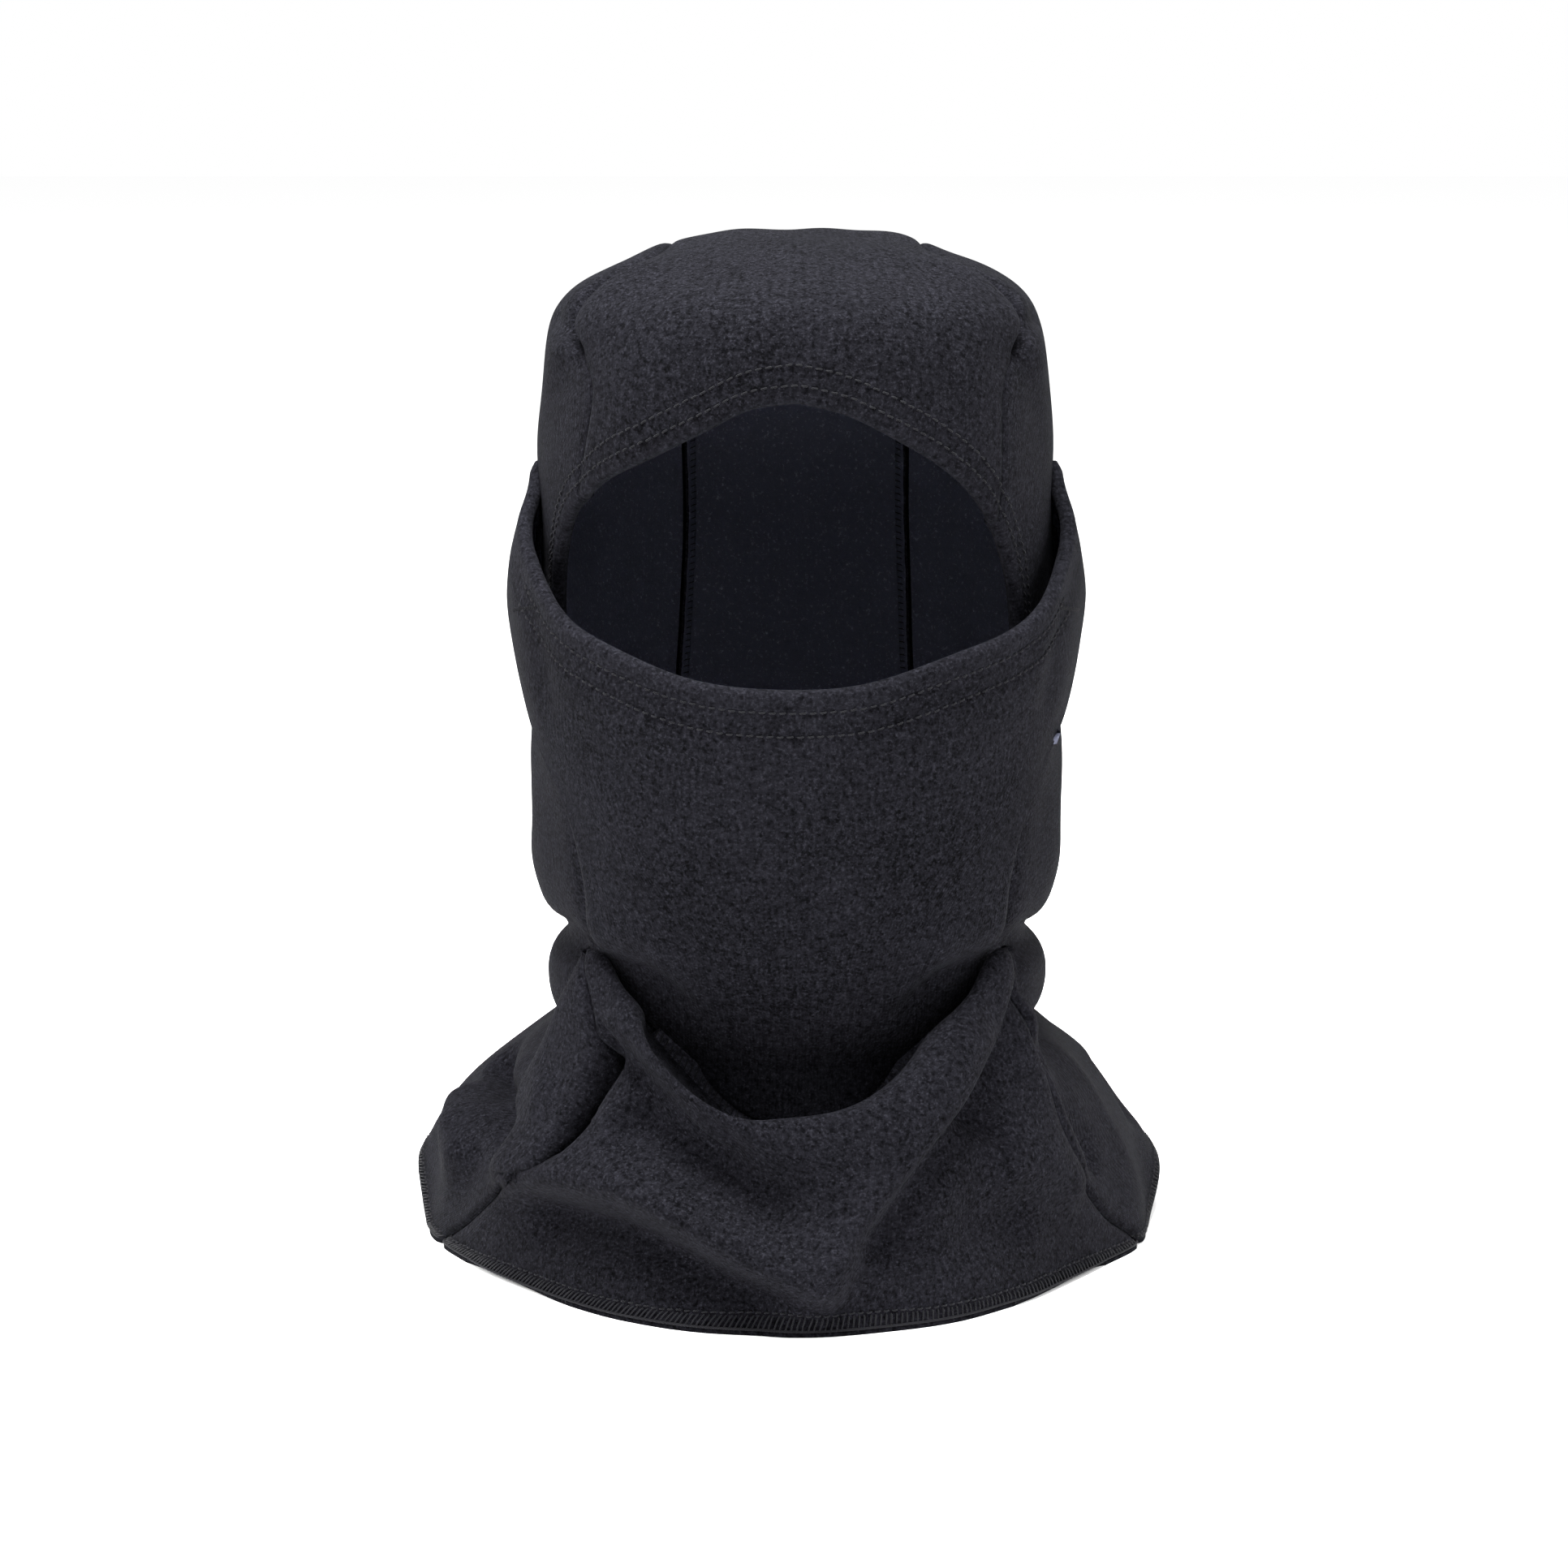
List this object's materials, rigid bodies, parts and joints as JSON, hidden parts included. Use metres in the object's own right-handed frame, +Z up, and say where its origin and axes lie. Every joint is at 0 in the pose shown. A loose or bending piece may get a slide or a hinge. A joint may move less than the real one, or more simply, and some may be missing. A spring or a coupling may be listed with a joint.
{
  "type": "balaclava",
  "caption": "Fleece balaclava: a panelled hood with a face opening, a mask that pulls down off the nose and mouth, and a bib that spreads over the shoulders.",
  "frame": {"origin": "on the ground, under the middle of the bib's hem", "axes": "+Z up to the crown, the face opening looks along -Y, +X is the wearer's left"},
  "size_m": [0.269, 0.2512, 0.3552],
  "materials": {
    "outer_fleece": "brushed charcoal fleece knit",
    "turned_hem": "inner face of the fleece",
    "elastic_tape": "woven elastic",
    "topstitch_thread": "spun polyester thread",
    "overlock_thread": "overlocked polyester thread"
  },
  "bodies": {
    "hood": {"crown_panel": "outer_fleece", "side_panel_left": "outer_fleece", "side_panel_right": "outer_fleece", "face_hem": "turned_hem", "brow_topstitch_outer": "topstitch_thread", "brow_topstitch_inner": "topstitch_thread", "crown_seam_left": "overlock_thread", "crown_seam_right": "overlock_thread", "mask_seam_left": "overlock_thread", "bartack_left": "topstitch_thread", "mask_seam_right": "overlock_thread", "bartack_right": "topstitch_thread", "bib_front": "outer_fleece", "bib_back": "outer_fleece", "bib_hem_overlock_front": "overlock_thread", "bib_hem_overlock_back": "overlock_thread", "bib_side_seam_left": "overlock_thread", "bib_side_seam_right": "overlock_thread", "neck_seam": "overlock_thread", "chin_seam": "overlock_thread"},
    "mask": {"mask_panel": "outer_fleece", "mask_hem": "turned_hem", "mask_elastic": "elastic_tape", "mask_topstitch_upper": "topstitch_thread", "mask_topstitch_lower": "topstitch_thread"}
  },
  "joints": [
    {"name": "mask_pull_down", "type": "slide", "parent": "hood", "child": "mask", "axis": [0, 0, -1], "range_m": [0, 0.055], "deforming": ["mask_panel"]}
  ]
}
